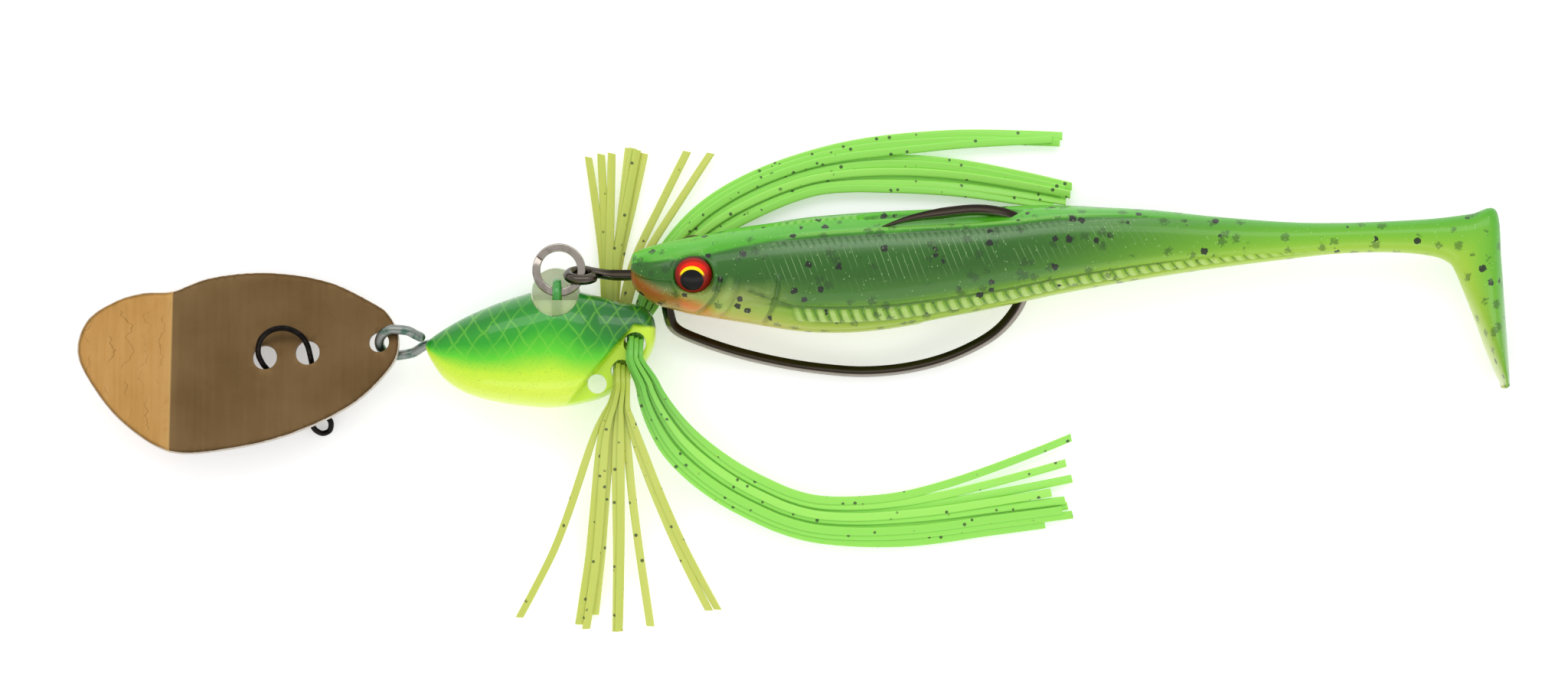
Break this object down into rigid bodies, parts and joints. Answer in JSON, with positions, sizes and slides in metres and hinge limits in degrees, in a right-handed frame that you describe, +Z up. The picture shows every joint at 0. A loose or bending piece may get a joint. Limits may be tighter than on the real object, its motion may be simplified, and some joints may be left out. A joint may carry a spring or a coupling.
{
  "type": "bladed jig fishing lure",
  "caption": "Swinging-blade jig lying on its side: oval bent blade, line-tie snap, weighted head, split ring, wide-gap hook, soft paddle-tail bait and two threaded skirts.",
  "frame": {"origin": "centre of the bounding box at the surface that the lure lies on", "axes": "+X from the blade to the tail, +Y to the lure's back, +Z up from the surface, out of the side that shows"},
  "size_m": [0.1633, 0.0566, 0.011],
  "materials": {
    "head_paint": "gloss",
    "blade_brass": "antique",
    "nose_wire": "tinned",
    "top_wire": "gloss",
    "bead_silicone": "satin",
    "snap_wire": "black nickel",
    "ring_steel": "polished",
    "hook_nickel": "black nickel",
    "bait_plastic": "glossy soft plastic",
    "eye_film": "gloss",
    "green_silicone": "satin",
    "chartreuse_silicone": "satin"
  },
  "bodies": {
    "head": {"head": "head_paint", "nose_eye": "nose_wire", "top_eye": "top_wire", "bead": "bead_silicone", "green_strand_1": "green_silicone", "green_strand_2": "green_silicone", "green_strand_3": "green_silicone", "green_strand_4": "green_silicone", "green_strand_5": "green_silicone", "green_strand_6": "green_silicone", "green_strand_7": "green_silicone", "green_strand_8": "green_silicone", "green_strand_9": "green_silicone", "chartreuse_strand_1": "chartreuse_silicone", "chartreuse_strand_2": "chartreuse_silicone", "chartreuse_strand_3": "chartreuse_silicone", "chartreuse_strand_4": "chartreuse_silicone", "chartreuse_strand_5": "chartreuse_silicone", "chartreuse_strand_6": "chartreuse_silicone", "chartreuse_strand_7": "chartreuse_silicone", "chartreuse_strand_8": "chartreuse_silicone", "chartreuse_strand_9": "chartreuse_silicone"},
    "blade": {"blade": "blade_brass"},
    "snap": {"snap": "snap_wire"},
    "ring": {"split_ring": "ring_steel"},
    "hook": {"hook": "hook_nickel", "shad_body": "bait_plastic", "eye_left": "eye_film", "eye_right": "eye_film"},
    "tail": {"shad_tail": "bait_plastic"}
  },
  "joints": [
    {"name": "blade_swing", "type": "hinge", "parent": "head", "child": "blade", "pos_m": [-0.0455, 0.0046, 0.0056], "axis": [0, -0.6157, 0.788], "range_deg": [-40, 40]},
    {"name": "snap_swing", "type": "hinge", "parent": "blade", "child": "snap", "pos_m": [-0.05813, 0.00295, 0.00496], "axis": [0.9917, 0.1099, 0.0673], "range_deg": [0, 100]},
    {"name": "ring_swing", "type": "hinge", "parent": "head", "child": "ring", "pos_m": [-0.0272, 0.01145, 0.0056], "axis": [0, 0, 1], "range_deg": [-4, 30], "deforming": ["green_strand_1", "green_strand_2", "green_strand_3", "green_strand_4", "green_strand_5", "green_strand_6", "green_strand_7", "green_strand_8", "green_strand_9", "chartreuse_strand_1", "chartreuse_strand_2", "chartreuse_strand_3", "chartreuse_strand_4", "chartreuse_strand_5", "chartreuse_strand_6", "chartreuse_strand_7", "chartreuse_strand_8", "chartreuse_strand_9"]},
    {"name": "hook_swing", "type": "hinge", "parent": "ring", "child": "hook", "pos_m": [-0.0244, 0.0123, 0.0056], "axis": [0.225, 0.9744, 0], "range_deg": [-60, 60]},
    {"name": "tail_wag", "type": "hinge", "parent": "hook", "child": "tail", "pos_m": [0.056, 0.01625, 0.0056], "axis": [0, 1, 0], "range_deg": [-35, 35], "stiffness_Nm_per_rad": 0.0008}
  ]
}
